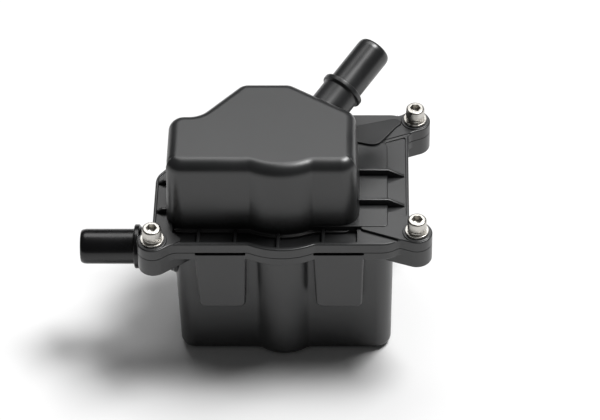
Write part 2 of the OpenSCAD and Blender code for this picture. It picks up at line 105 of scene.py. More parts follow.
POCKET_R = 0.8
CHANNEL_FLOOR, CHANNEL_RIM, CHANNEL_BACK, CHANNEL_HIDDEN_R = 2, 2, 30, 1
CHANNEL_LEFT, CHANNEL_END_X = DOME_LEFT + 3.5, DOME_RIGHT - 1.1
CHANNEL_END_FLOOR, CHANNEL_END_LAP, CHANNEL_END_BACK = 4.4, 3, 15.9
CHANNEL_TIP_FRONT, CHANNEL_TIP_BACK = (51, CHANNEL_RIM), (52.5, 4.5)
PLATEAU_Z, PLATEAU_LEFT, PLATEAU_RIGHT = 5.9, 1, DOME_RIGHT + 12.5
PLATEAU_FRONT, PLATEAU_BACK = DOME_FRONT - 0.5, FLANGE_DEPTH - 19.8
PLATEAU_HIDDEN_R, PLATEAU_FRONT_R, PLATEAU_BACK_R = 0.5, 2, 3
STRIP_FLOOR, STRIP_RIM = 4.5, 1.3
RIGHT_STRIP_LEFT = PLATEAU_RIGHT - 0.7
RIGHT_STRIP_FRONT, RIGHT_STRIP_BACK = (21.5, 18), (FLANGE_DEPTH - 18.8, FLANGE_DEPTH - 15.3)
LEFT_STRIP_FRONT, LEFT_STRIP_LAP = 14, 2
HUMP_FRONT_Y, HUMP_BACK_Y = FLANGE_DEPTH - 24, FLANGE_DEPTH - 2.6
HUMP_FRONT_Z, HUMP_BACK_Z, HUMP_LEFT, HUMP_FOOT_INSET = 7.2, 6, 29, 0.7
# Drop under the hump's top, and inset
HUMP_EDGE = ((0.3, 0.9), (0.08, 1.1), (0, 1.5))
RIB_T, RIB_EDGE_R, RIB_SLOPE = 1.6, 0.45, 0.15
SIDE_RIB_LAP, FRONT_RIB_LAP = 2, 1
RIGHT_RIBS_Y, RIGHT_RIB_HIGH, RIGHT_RIB_LOW = (24.7, 44), 8.9, 5.1
RIGHT_RIB_BEND_X, RIGHT_RIB_END_X = PLATEAU_RIGHT + 0.5, FLANGE_RIGHT - 2
LEFT_RIBS_Y, LEFT_RIB_HIGH, LEFT_RIB_LOW = (20.7, 39.2), 7, 5
LEFT_RIB_BEND_X, LEFT_RIB_END_X = DOME_LEFT - 2, FLANGE_LEFT + STRIP_RIM
FRONT_RIBS_X, MIDDLE_RIB_X, FRONT_RIB_TOP, FRONT_RIB_Y = (-36.9, -20.6, 18.4), -1.5, 4.6, 1

# Ears, each with its centre, the ends of its arm on the cover and those of its arm on the can

COVER_ARM, CAN_ARM = 1, 2
EAR_R, ARM_END_R, ARM_Z, COVER_EAR_T, CAN_EAR_T = 6.9, 1.5, 5.6, 6.2, 10
EAR_LEDGE, ARM_EDGE_R, ARM_MARGIN = 0.5, 0.6, 0.2
BACK_RIGHT_ARM = [(CAN_RIGHT - 3.4, CAN_BACK - 1.5), (CAN_RIGHT - 3.3, FLANGE_DEPTH - 15.8)]
SLANT_ARM = [tuple(SLANT_FROM + along * SLANT - 3 * SLANT_OUT) for along in (13, 35)]
EARS = {
    "front_left": (
        Vector((FLANGE_LEFT + 0.5, 2.2)),
        [(DOME_LEFT + 5.7, 3), (DOME_LEFT + 0.5, 8.5)],
        [(CAN_LEFT + 7.5, CAN_FRONT + 2.2), (CAN_LEFT + 1.5, 9)]),
    "front_right": (
        Vector((FLANGE_RIGHT + 3.3, 7.6)),
        [(CAN_RIGHT - 1.4, 19), (DOME_RIGHT + 2.2, DOME_FRONT - 0.6)],
        [(CAN_RIGHT - 1.4, 19), (CAN_RIGHT - 2.4, 6.5)]),
    "back_right": (Vector((FLANGE_RIGHT + 3.3, FLANGE_DEPTH - 4.6)), BACK_RIGHT_ARM, BACK_RIGHT_ARM),
    "back_left": (SLANT_FROM + 25 * SLANT + 2.8 * SLANT_OUT, SLANT_ARM, SLANT_ARM),
}
FRONT_RIGHT_TURN, BACK_RIGHT_TURN = math.radians(35), math.radians(40)
BACK_RIGHT_LEAVE = math.radians(215)

# Fasteners

SLEEVE_D, INSERT_D, SCREW_D, HOLE_CLEAR = 7.2, 6.8, 5, 0.1
INSERT_HOLE_DEPTH, SCREW_LEN, SCREW_TIP = 8.3, 16, 0.6
WASHER_D, LOCK_WASHER_D, WASHER_HOLE_D = 10.5, 8.4, 5.3
WASHER_T, LOCK_WASHER_T, LOCK_WASHER_PLAY, LOCK_WASHER_LIFT = 1, 1.3, 0.04, 0.1
LOCK_WASHER_GAP, LOCK_WASHER_STEPS, FIRST_SPLIT_TURN = math.radians(9), 90, 0.7
WASHER_Z = COVER_EAR_T
LOCK_Z = WASHER_Z + WASHER_T
HEAD_Z = LOCK_Z + LOCK_WASHER_T
HEAD_D, HEAD_H, SOCKET_AF, SOCKET_DEPTH = 8.5, 5, 4, 2.6
KNURLS, KNURL_POINTS, KNURL_DEPTH = 48, 6, 0.13

# Hose tubes

TUBE_D, BEAD_D, STEM_D, PASSAGE_D, TUBE_LEN = 15.82, 19.9, 17.4, 12.4, 25.5
BEAD_HALF_W, BEAD_EDGE_R, TIP_LEN, TIP_R, MOUTH_EDGE = 1.3, 0.7, 3, 1.2, 0.6
INLET_STEM, INLET_Y, INLET_DROP = 17, 19.5, 15
INLET_PLUG_R, INLET_PLUG_GAP, INLET_PLUG_OVER, INLET_PLUG_SEAT_HALF = 7.5, 0.05, 0.5, 8
INLET_BOSS_H = 2
# Radius of the boss, and height over the can's wall
INLET_BOSS_EDGE = ((11.6, -1.3), (11.6, 0.2), (11, 0.9), (11, 1.6), (10.6, INLET_BOSS_H))
OUTLET_TURN, OUTLET_RISE, OUTLET_STEM = 52, 18.3, 14.5
OUTLET_ROOT_Z, OUTLET_ALONG, OUTLET_LIP = 30.4, 18.8, 6
COLLAR_W, COLLAR_LEN = 2.6, 6


def to_row(points):
    """Drawing millimetres as the frame's metres."""
    return (np.asarray(points, float) + DRAWING_ORIGIN) * MM


def bulge(size, y):
    """Corners and radii of a front bulge of a given width and depth."""
    w, p = size
    slope = 2 * math.atan(2 * p / w)
    crown = (w / 2 / math.cos(slope) - BULGE_BLEND * math.tan(slope / 2)) / math.tan(slope) - 0.5
    return [
        ((-w / 2, y), BULGE_BLEND),
        ((0, y - w / 2 * math.tan(slope)), crown),
        ((w / 2, y), BULGE_BLEND),
    ]


def corner_frame(a, b, c):
    """Directions into and out of corner b, and the turn there."""
    along = (Vector(b) - Vector(a)).normalized()
    ahead = (Vector(c) - Vector(b)).normalized()
    return along, ahead, math.atan2(along.cross(ahead), along.dot(ahead))


def rounded(corners):
    """A plan with rounded corners, as a function from an inset to its points."""

    def ring(inset):
        points = []
        for i, (b, r) in enumerate(corners):
            along, ahead, turn = corner_frame(corners[i - 1][0], b, corners[(i + 1) % len(corners)][0])
            centre = Vector(b) + (ahead - along).normalized() * r / math.cos(turn / 2)
            reach = math.copysign(r, turn) - inset
            steps = max(2, math.ceil(abs(turn) / ARC_STEP))
            start = math.atan2(-along.x, along.y)
            for k in range(steps + 1):
                t = start + turn * k / steps
                points.append((centre.x + reach * math.cos(t), centre.y + reach * math.sin(t)))
        return points

    return ring


def moved_in(corners, inset):
    """The same plan's corners and radii, moved inward by inset."""
    result = []
    for i, (b, r) in enumerate(corners):
        along, ahead, turn = corner_frame(corners[i - 1][0], b, corners[(i + 1) % len(corners)][0])
        shift = (ahead - along).normalized() * inset / math.cos(turn / 2)
        result.append((tuple(Vector(b) + math.copysign(1, turn) * shift), r - math.copysign(inset, turn)))
    return result


def heading(disc, following):
    """Heading of the outer tangent from one disc (centre, radius) to the following one."""
    way = Vector(following[0]) - Vector(disc[0])
    return math.atan2(way.y, way.x) + math.asin((disc[1] - following[1]) / way.length)


def round_disc(disc, enter, leave):
    """Corners that carry an outline round a disc, from one tangent heading to another."""
    (x, y), r = disc
    parts = max(1, math.ceil((leave - enter) / math.radians(60)))
    half = (leave - enter) / parts / 2
    corners = []
    for k in range(parts):
        normal = enter + (2 * k + 1) * half - math.pi / 2
        reach = r / math.cos(half)
        corners.append(((x + reach * math.cos(normal), y + reach * math.sin(normal)), r))
    return corners


def stretched(discs):
    """Corners of the plan stretched round discs, which are listed counterclockwise."""
    corners = []
    for i, disc in enumerate(discs):
        enter = heading(discs[i - 1], disc)
        leave = heading(disc, discs[(i + 1) % len(discs)])
        corners += round_disc(disc, enter, enter + (leave - enter) % (2 * math.pi))
    return corners


def crossing(disc, way, point, line_way):
    """Where a disc's outer tangent with one heading meets the line through a point with another."""
    ahead = Vector((math.cos(way), math.sin(way)))
    line = Vector((math.cos(line_way), math.sin(line_way)))
    touch = Vector(disc[0]) + disc[1] * Vector((ahead.y, -ahead.x))
    gap = Vector(point) - touch
    return tuple(touch + gap.cross(line) / ahead.cross(line) * ahead)


def quarter(steps=6):
    """Sine and cosine along a quarter turn."""
    return [(math.sin(t), math.cos(t)) for t in np.linspace(0, math.pi / 2, steps + 1)]


def wall(low, high, foot=0.0, top=0.0, draft=0.0):
    """Levels (height, inset) of a wall with rounded edges at its foot and top."""
    levels = [(low + foot * (1 - c), foot * (1 - s)) for s, c in quarter()] if foot else [(low, 0)]
    if top:
        levels += [(high - top + top * s, draft + top * (1 - c)) for s, c in quarter()]
    else:
        levels.append((high, draft))
    return levels


def pocket(low, rim, floor_r=0.5, rim_r=0.4):
    """Levels of a cutter for a pocket with rounded edges at its floor and its rim."""
    levels = wall(low, rim - rim_r, foot=floor_r)
    levels += [(rim - rim_r + rim_r * s, -rim_r * (1 - c)) for s, c in quarter()[1:]]
    return levels + [(rim + CUT_CLEAR, -rim_r)]


def solid(rings, place=to_row, closed=False):
    """A closed mesh skinned over rings of points; a closed skin runs on from the last ring to the first."""
    rings = np.array([place(ring) for ring in rings])
    count, around = rings.shape[:2]
    mesh = bpy.data.meshes.new("solid")
    faces = []
    for j in range(count if closed else count - 1):
        k = (j + 1) % count
        for i in range(around):
            n = (i + 1) % around
            faces.append((j * around + i, j * around + n, k * around + n, k * around + i))
    if not closed:
        faces.append(tuple(range(around - 1, -1, -1)))
        faces.append(tuple((count - 1) * around + i for i in range(around)))
    mesh.from_pydata(rings.reshape(-1, 3).tolist(), [], faces)
    work = bmesh.new()
    work.from_mesh(mesh)
    bmesh.ops.remove_doubles(work, verts=work.verts, dist=WELD_METRES)
    bmesh.ops.recalc_face_normals(work, faces=work.faces)
    work.to_mesh(mesh)
    work.free()
    return bpy.data.objects.new("solid", mesh)


def loft(plan, levels):
    """A solid standing on a plan."""
    return solid([[(x, y, z) for x, y in plan(inset)] for z, inset in levels])


def fronted(plan, levels):
    """A solid whose plan is drawn in X and Z, running back in Y."""
    return solid([[(x, y, z) for x, z in plan(inset)] for y, inset in levels])


def rib(path):
    """A rib with a rounded back along a path of (x, y, top)."""
    start, end = Vector(path[0][:2]), Vector(path[-1][:2])
    side = (end - start).normalized().orthogonal()
    half, r = RIB_T / 2, RIB_EDGE_R
    rings = []
    for x, y, top in path:
        section = [(-half - RIB_SLOPE, ROOT_Z)]
        section += [(-half + r - r * c, top - r + r * s) for s, c in quarter(4)]
        section += [(half - r + r * c, top - r + r * s) for s, c in reversed(quarter(4))]
        section += [(half + RIB_SLOPE, ROOT_Z)]
        rings.append([(x + side.x * u, y + side.y * u, z) for u, z in section])
    return solid(rings)


def turned(profile, place, closed=False):
    """A solid turned from (radius, height) points."""
    rings = []
    for r, h in profile:
        rings.append([
            (r * math.cos(t), r * math.sin(t), h)
            for t in np.linspace(0, 2 * math.pi, ROUND_POINTS, endpoint=False)
        ])
    return solid(rings, place, closed)


def placed(matrix):
    """Turns points of a piece's own axes into the frame's metres."""
    matrix = np.array(matrix)

    def place(points):
        points = np.asarray(points, float)
        return to_row(points @ matrix[:3, :3].T + matrix[:3, 3])

    return place


def standing(centre, z):
    """Axes that stand upright over an ear's centre."""
    return placed(Matrix.Translation((centre.x, centre.y, z)))


def combined(base, adds=(), cuts=(), limits=()):
    """One solid from a base, what is added to it, what is then cut from it and what it is kept within."""
    scene = bpy.context.scene.collection
    tools = [(tool, "UNION") for tool in adds] + [(tool, "DIFFERENCE") for tool in cuts]
    tools += [(tool, "INTERSECT") for tool in limits]
    scene.objects.link(base)
    for tool, operation in tools:
        scene.objects.link(tool)
        step = base.modifiers.new("step", "BOOLEAN")
        step.solver = "MANIFOLD"
        step.operation = operation
        step.object = tool
    graph = bpy.context.evaluated_depsgraph_get()
    mesh = bpy.data.meshes.new_from_object(base.evaluated_get(graph))
    for shape in [base] + [tool for tool, _ in tools]:
        bpy.data.objects.remove(shape)
    return bpy.data.objects.new("solid", mesh)


def piece(shape, name, node, material):
    """Makes a solid a piece of the scene that stands for a CAD node."""
    bpy.context.scene.collection.objects.link(shape)
    shape.name = shape.data.name = name
    shape.data.materials.clear()
    shape.data.materials.append(material)
    shape.data.shade_smooth()
    shape.data.set_sharp_from_angle(angle=CREASE)
    flat_faces = shape.modifiers.new("flat_faces", "WEIGHTED_NORMAL")
    flat_faces.keep_sharp = True
    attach(shape, "root")
    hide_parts(node)


# Plans

FLANGE = (
    [((FLANGE_LEFT, 0), FLANGE_R)] + bulge(FLANGE_BULGE, 0)
    + [((FLANGE_RIGHT, 0), FLANGE_FRONT_RIGHT_R), ((FLANGE_RIGHT, FLANGE_DEPTH), FLANGE_R),
       (tuple(SLANT_TO), SLANT_TO_R), (tuple(SLANT_FROM), SLANT_FROM_R)]
)


def slant_point(x=None, y=None, gap=0.0):
    """Where the slanted edge, moved in by a gap, meets a given x or y."""
    start = SLANT_FROM - gap * SLANT_OUT
    t = (x - start.x) / SLANT.x if y is None else (y - start.y) / SLANT.y
    return tuple(start + t * SLANT)


CAN = (
    [((CAN_LEFT, CAN_FRONT), CAN_CORNER_R)] + bulge(CAN_BULGE, CAN_FRONT)
    + [((CAN_RIGHT, CAN_FRONT), CAN_CORNER_R), ((CAN_RIGHT, CAN_BACK), CAN_CORNER_R),
       (slant_point(y=CAN_BACK, gap=CAN_SLANT_GAP), CAN_CORNER_R),
       (slant_point(x=CAN_LEFT, gap=CAN_SLANT_GAP), CAN_CORNER_R)]
)

DOME_SLANT_RIGHT = Vector((DOME_RIGHT, DOME_RIGHT_Y))
DOME_SLANT_LEFT = Vector((DOME_BACK_RIGHT_X, DOME_BACK))
DOME = (
    [((DOME_LEFT, DOME_FRONT), DOME_CORNER_R)] + bulge(DOME_BULGE, DOME_FRONT)
    + [((DOME_RIGHT, DOME_FRONT), DOME_CORNER_R), (tuple(DOME_SLANT_RIGHT), DOME_CORNER_R),
       (tuple(DOME_SLANT_LEFT), DOME_CORNER_R), ((DOME_BACK_LEFT_X, DOME_BACK), DOME_CORNER_R),
       ((DOME_STEP_X, DOME_STEP_Y), DOME_STEP_R), ((DOME_LEFT, DOME_STEP_Y), DOME_CORNER_R)]
)


def arm_discs(corner, arm, grow=0.0):
    """An ear and the two ends of one of its arms, as discs."""
    ends = [(end, ARM_END_R + grow) for end in EARS[corner][arm]]
    return [(EARS[corner][0], EAR_R + grow)] + ends


def flange_with_ears():
    """The flange's corners with the four ears run into its edges by concave fillets."""
    front, right, back, left = 0, math.pi / 2, math.pi, 1.5 * math.pi
    slant = math.pi + math.atan2(SLANT.y, SLANT.x)
    front_reach = FLANGE_FRONT_RIGHT_R * (1 - math.tan(FRONT_RIGHT_TURN / 2))
    back_reach = FLANGE_R * (1 - math.tan(BACK_RIGHT_TURN / 2))
    front_end = (FLANGE_RIGHT - front_reach, 0)
    back_end = (FLANGE_RIGHT - back_reach, FLANGE_DEPTH)
    # A point and the heading of the edge that the ear leaves, with the fillet's radius, and of the
    # edge that it runs back into
    sides = {
        "front_left": ((FLANGE_LEFT, 0), left, 2, (0, 0), front, 8),
        "front_right": (front_end, FRONT_RIGHT_TURN, 2.2, (FLANGE_RIGHT, 0), right, 4),
        "back_right": ((FLANGE_RIGHT, 0), right, 4, back_end, back - BACK_RIGHT_TURN, 1.5),
        "back_left": (SLANT_FROM, slant, 4, SLANT_FROM, slant, 4),
    }
    after = {
        "front_left": bulge(FLANGE_BULGE, 0) + [(front_end, FLANGE_FRONT_RIGHT_R)],
        "front_right": [],
        "back_right": [(back_end, FLANGE_R), (tuple(SLANT_TO), SLANT_TO_R)],
        "back_left": [(tuple(SLANT_FROM), SLANT_FROM_R)],
    }
    corners = []
    for corner, (point_in, way_in, r_in, point_out, way_out, r_out) in sides.items():
        ear, first, last = arm_discs(corner, CAN_ARM)
        enter, leave = heading(last, ear), heading(ear, first)
        if corner == "back_right":
            leave = BACK_RIGHT_LEAVE
        corners.append((crossing(ear, enter, point_in, way_in), r_in))
        corners += round_disc(ear, enter, enter + (leave - enter) % (2 * math.pi))
        corners.append((crossing(ear, leave, point_out, way_out), r_out))
        corners += after[corner]
    return corners


PLATE = flange_with_ears()


def hole(centre, diameter, low, high):
    """A cutter for an upright hole in an ear."""
    return turned([(diameter / 2, low), (diameter / 2, high)], standing(centre, 0))


# Hose tubes


def tube_profile(root):
    """Outline of a hose tube from its root to its tip, with the retaining bead rounded."""
    stem_r, tube_r, bead_r = STEM_D / 2, TUBE_D / 2, BEAD_D / 2
    # The last points before and the first after the bead are its small fillets
    stem = [(stem_r, -root), (stem_r, -BEAD_HALF_W - 0.9), (stem_r + 0.2, -BEAD_HALF_W - 0.4)]
    bead = [
        (bead_r - BEAD_EDGE_R + BEAD_EDGE_R * s, -BEAD_HALF_W + BEAD_EDGE_R - BEAD_EDGE_R * c)
        for s, c in quarter(5)
    ]
    bead += [(r, -h) for r, h in reversed(bead)]
    foot = [(tube_r + 0.25, BEAD_HALF_W + 0.15), (tube_r, BEAD_HALF_W + 0.6)]
    tip = [(tube_r - TIP_R + TIP_R * c, TUBE_LEN - TIP_LEN + TIP_LEN * s) for s, c in quarter()]
    return stem + bead + foot + tip


# Each tube's own axes start in the middle of its bead, with +Z towards its tip
INLET = placed(
    Matrix.Translation((CAN_LEFT - INLET_STEM, INLET_Y, -INLET_DROP))
    @ Matrix.Rotation(-math.pi / 2, 4, "Y")
)

WALL_DIR = (DOME_SLANT_LEFT - DOME_SLANT_RIGHT).normalized()
WALL_OUT = Vector((WALL_DIR.y, -WALL_DIR.x))
LEAN = DOME_DRAFT * OUTLET_ROOT_Z / (DOME_TOP - DOME_EDGE_R)
OUTLET_ROOT = DOME_SLANT_RIGHT + OUTLET_ALONG * WALL_DIR - LEAN * WALL_OUT
OUTLET = placed(
    Matrix.Translation((OUTLET_ROOT.x, OUTLET_ROOT.y, OUTLET_ROOT_Z))
    @ Matrix.Rotation(math.radians(OUTLET_TURN), 4, "Z")
    @ Matrix.Rotation(math.radians(90 - OUTLET_RISE), 4, "Y")
    @ Matrix.Translation((0, 0, OUTLET_STEM))
)

# Cover


def dome():
    """The dome's outside with the band round its foot; its front is steeper, with a rounder edge."""
    band_edge_z = FOOT_BAND_H - FOOT_BAND_SLOPE - FOOT_BAND_EDGE_R
    levels = [(ROOT_Z, -FOOT_BAND_W), (band_edge_z, -FOOT_BAND_W)]
    levels += [
        (band_edge_z + FOOT_BAND_EDGE_R * s, -FOOT_BAND_W + FOOT_BAND_EDGE_R * (1 - c))
        for s, c in quarter(4)[1:]
    ]
    levels += [(FOOT_BAND_H + DOME_FOOT_R * (1 - c), -DOME_FOOT_R * (1 - s)) for s, c in quarter(4)]
    plan = rounded(DOME)
    rings = [[(x, y, z) for x, y in plan(inset)] for z, inset in levels]
    foot, inward = np.array(plan(0)), np.array(plan(1)) - np.array(plan(0))
    along_front = foot[:, 1] < DOME_FRONT + DOME_CORNER_R / 2
    draft = np.where(along_front, DOME_FRONT_DRAFT, DOME_DRAFT)
    radii = np.where(along_front, DOME_FRONT_EDGE_R, DOME_EDGE_R)
    for s, c in quarter(10):
        ring = foot + (draft + radii * (1 - c))[:, None] * inward
        rings.append(np.column_stack([ring, DOME_TOP - radii * (1 - s)]))
    return solid(rings)


def channel_plan():
    """The channel in front of the dome, deep up to its raised right end."""
    front_bulge = moved_in(FLANGE, CHANNEL_RIM)[1:4]
    return rounded(
        [((CHANNEL_LEFT, CHANNEL_RIM), POCKET_R)] + front_bulge
        + [((CHANNEL_END_X, CHANNEL_RIM), POCKET_R), ((CHANNEL_END_X, CHANNEL_BACK), CHANNEL_HIDDEN_R),
           ((CHANNEL_LEFT, CHANNEL_BACK), CHANNEL_HIDDEN_R)]
    )


def pocket_plan(*corners):
    """A pocket's plan from its corners."""
    return rounded([(corner, POCKET_R) for corner in corners])


def channel_end_plan():
    """The channel's shallow end, at the foot of the front right ear's arm."""
    left = CHANNEL_END_X - CHANNEL_END_LAP
    return pocket_plan(
        (left, CHANNEL_RIM), CHANNEL_TIP_FRONT, CHANNEL_TIP_BACK,
        (DOME_RIGHT, CHANNEL_END_BACK), (left, CHANNEL_END_BACK))


def strip_plans():
    """The shallow strips inside the rim, right of the plateau and left of the dome."""
    right_edge, left_edge = FLANGE_RIGHT - STRIP_RIM, FLANGE_LEFT + STRIP_RIM
    yield pocket_plan(
        (RIGHT_STRIP_LEFT, RIGHT_STRIP_FRONT[0]), (right_edge, RIGHT_STRIP_FRONT[1]),
        (right_edge, RIGHT_STRIP_BACK[1]), (RIGHT_STRIP_LEFT, RIGHT_STRIP_BACK[0]))
    yield pocket_plan(
        (left_edge, LEFT_STRIP_FRONT), (DOME_LEFT + LEFT_STRIP_LAP, LEFT_STRIP_FRONT),
        (DOME_LEFT + LEFT_STRIP_LAP, DOME_STEP_Y), slant_point(y=DOME_STEP_Y, gap=STRIP_RIM),
        slant_point(x=left_edge, gap=STRIP_RIM))


def plateau():
    """The raised floor right of the dome; its left part lies under the dome."""
    plan = rounded([
        ((PLATEAU_LEFT, PLATEAU_FRONT), PLATEAU_HIDDEN_R),
        ((PLATEAU_RIGHT, PLATEAU_FRONT), PLATEAU_FRONT_R),
        ((PLATEAU_RIGHT, PLATEAU_BACK), PLATEAU_BACK_R),
        ((PLATEAU_LEFT, PLATEAU_BACK), PLATEAU_HIDDEN_R)])
    return loft(plan, wall(ROOT_Z, PLATEAU_Z, top=0.4))


def hump():
    """A low hump that falls a little to the back, beside the back right ear."""
    plan = rounded([
        ((HUMP_LEFT, FLANGE_DEPTH - 20), 2), ((DOME_RIGHT + 8.2, HUMP_FRONT_Y), 6),
        ((DOME_RIGHT + 17.5, FLANGE_DEPTH - 10), 5), ((FLANGE_RIGHT, FLANGE_DEPTH - 5.6), 3),
        ((DOME_RIGHT + 16, HUMP_BACK_Y), 3), ((HUMP_LEFT, FLANGE_DEPTH - 9), 2)])
    fall = (HUMP_BACK_Z - HUMP_FRONT_Z) / (HUMP_BACK_Y - HUMP_FRONT_Y)
    rings = [[(x, y, ROOT_Z) for x, y in plan(HUMP_FOOT_INSET)]]
    for drop, inset in HUMP_EDGE:
        rings.append([(x, y, HUMP_FRONT_Z + fall * (y - HUMP_FRONT_Y) - drop) for x, y in plan(inset)])
    return solid(rings)


def cover_ribs():
    """The ribs right and left of the dome, and those in the channel in front of it."""
    for y in RIGHT_RIBS_Y:
        middle = y + RIB_T / 2
        yield rib([
            (DOME_RIGHT - SIDE_RIB_LAP, middle, RIGHT_RIB_HIGH), (RIGHT_RIB_BEND_X, middle, RIGHT_RIB_HIGH),
            (RIGHT_RIB_END_X, middle, RIGHT_RIB_LOW)])
    for y in LEFT_RIBS_Y:
        middle = y + RIB_T / 2
        yield rib([
            (DOME_LEFT + SIDE_RIB_LAP, middle, LEFT_RIB_HIGH), (LEFT_RIB_BEND_X, middle, LEFT_RIB_HIGH),
            (LEFT_RIB_END_X, middle, LEFT_RIB_LOW)])
    starts = [(x, FRONT_RIB_Y) for x in FRONT_RIBS_X] + [(MIDDLE_RIB_X, FRONT_RIB_Y - FLANGE_BULGE[1])]
    for x, y in starts:
        yield rib([(x, y, FRONT_RIB_TOP), (x, DOME_FRONT + FRONT_RIB_LAP, FRONT_RIB_TOP)])


def cover_arm(corner):
    """The part of an ear and its arm that stands over the rim, flush with the plate's edge."""
    plate = loft(rounded(PLATE), wall(0.5, ARM_Z, top=ARM_EDGE_R))
    plan = rounded(stretched(arm_discs(corner, COVER_ARM, grow=ARM_MARGIN)))
    limit = loft(plan, [(0, 0), (RIM_T - 0.2, 0), (ARM_Z + CUT_CLEAR, 0.8)])
    return combined(plate, limits=[limit])


def cover_ear(centre):
    """The raised disc round an ear's screw."""
    r = EAR_R - EAR_LEDGE
    edge = [(r, ROOT_Z), (r, COVER_EAR_T - 0.3), (r - 0.1, COVER_EAR_T - 0.1), (r - 0.3, COVER_EAR_T)]
    return turned(edge, standing(centre, 0))


def cover_plate():
    """The cover's flange with its channel and strips cut in."""
    cuts = [
        loft(channel_plan(), pocket(CHANNEL_FLOOR, RIM_T)),
        loft(channel_end_plan(), pocket(CHANNEL_END_FLOOR, RIM_T, floor_r=0.3, rim_r=0.3)),
    ]
    cuts += [loft(plan, pocket(STRIP_FLOOR, RIM_T, floor_r=0.2, rim_r=0.2)) for plan in strip_plans()]
    return combined(loft(rounded(PLATE), wall(0, RIM_T, foot=0.3, top=0.7)), cuts=cuts)


def dome_inside():
    """The space under the dome, and the mesh retainer's seat at its foot."""
    inside = wall(-CUT_CLEAR, DOME_TOP - DOME_WALL, top=DOME_EDGE_R - DOME_WALL, draft=DOME_DRAFT)
    yield loft(rounded(DOME), [(z, DOME_WALL + inset) for z, inset in inside])
    seat = [(-CUT_CLEAR, RETAINER_SEAT_INSET), (RETAINER_SEAT_DEPTH, RETAINER_SEAT_INSET)]
    yield loft(rounded(DOME), seat)


def cover_shape():
    """The cover with its dome, ears and outlet tube."""
    ears = []
    for corner, (centre, _, _) in EARS.items():
        ears.append(cover_arm(corner))
        ears.append(cover_ear(centre))
    shell = combined(
        cover_plate(),
        adds=[dome(), plateau(), hump()] + list(cover_ribs()) + ears,
        cuts=list(dome_inside()))
    tube = turned(tube_profile(OUTLET_STEM + OUTLET_LIP), OUTLET)
    collar = turned([
        (STEM_D / 2 + COLLAR_W * (1 - s), -OUTLET_STEM + COLLAR_LEN * (0.5 - c))
        for s, c in quarter(8)
    ], OUTLET)
    bore_r, mouth_r = PASSAGE_D / 2, PASSAGE_D / 2 + MOUTH_EDGE
    bore = turned([
        (bore_r, -OUTLET_STEM - OUTLET_LIP - CUT_CLEAR), (bore_r, TUBE_LEN - MOUTH_EDGE),
        (mouth_r, TUBE_LEN), (mouth_r, TUBE_LEN + CUT_CLEAR)], OUTLET)
    holes = [
        hole(centre, SLEEVE_D + HOLE_CLEAR, -CUT_CLEAR, COVER_EAR_T + CUT_CLEAR)
        for centre, _, _ in EARS.values()
    ]
    return combined(shell, adds=[tube, collar], cuts=[bore] + holes)


# Reservoir


def pad(x):
    """A tapered pad on the can's front."""
    plan = rounded([
        ((x - PAD_FOOT_W / 2, PAD_FOOT_Z), PAD_FOOT_R), ((x + PAD_FOOT_W / 2, PAD_FOOT_Z), PAD_FOOT_R),
        ((x + PAD_TOP_W / 2, PAD_TOP_Z), PAD_TOP_R), ((x - PAD_TOP_W / 2, PAD_TOP_Z), PAD_TOP_R)])
    levels = [(PAD_FRONT + PAD_EDGE_R * (1 - c), PAD_EDGE_R * (1 - s)) for s, c in quarter()]
    return fronted(plan, levels + [(CAN_FRONT + PAD_ROOT, -PAD_DRAFT)])


def pad_slot(x):
    """The shallow slot over a pad, in the flange's front edge."""
    left, right = x - PAD_SLOT_W / 2, x + PAD_SLOT_W / 2
    plan = rounded([
        ((left, PAD_SLOT_LOW), PAD_SLOT_R), ((right, PAD_SLOT_LOW), PAD_SLOT_R),
        ((right, PAD_SLOT_HIGH), PAD_SLOT_R), ((left, PAD_SLOT_HIGH), PAD_SLOT_R)])
    return fronted(plan, [(-CUT_CLEAR, 0), (PAD_SLOT_DEPTH, 0)])


def can_levels(floor=0.0, wall_t=0.0, top=-1.0):
    """Levels of the can's outside, or of its inside with a floor and a wall."""
    r = CAN_BASE_R - wall_t
    low = -CAN_HEIGHT + floor
    levels = [(low + r * (1 - c), CAN_DRAFT + wall_t + r * (1 - s)) for s, c in quarter(8)]
    return levels + [(top, wall_t)]


def inlet_boss():
    """The stepped boss round the inlet tube's root."""
    return turned([(r, h - INLET_STEM) for r, h in INLET_BOSS_EDGE], INLET)


def seal_groove():
    """A cutter for the seal's groove, which follows the flange."""
    outer = loft(rounded(FLANGE), [(-SEAL_DEPTH, SEAL_OUTER_GAP), (CUT_CLEAR, SEAL_OUTER_GAP)])
    inner = loft(rounded(FLANGE), [(-SEAL_DEPTH - 1, SEAL_INNER_GAP), (CUT_CLEAR + 1, SEAL_INNER_GAP)])
    return combined(outer, cuts=[inner])


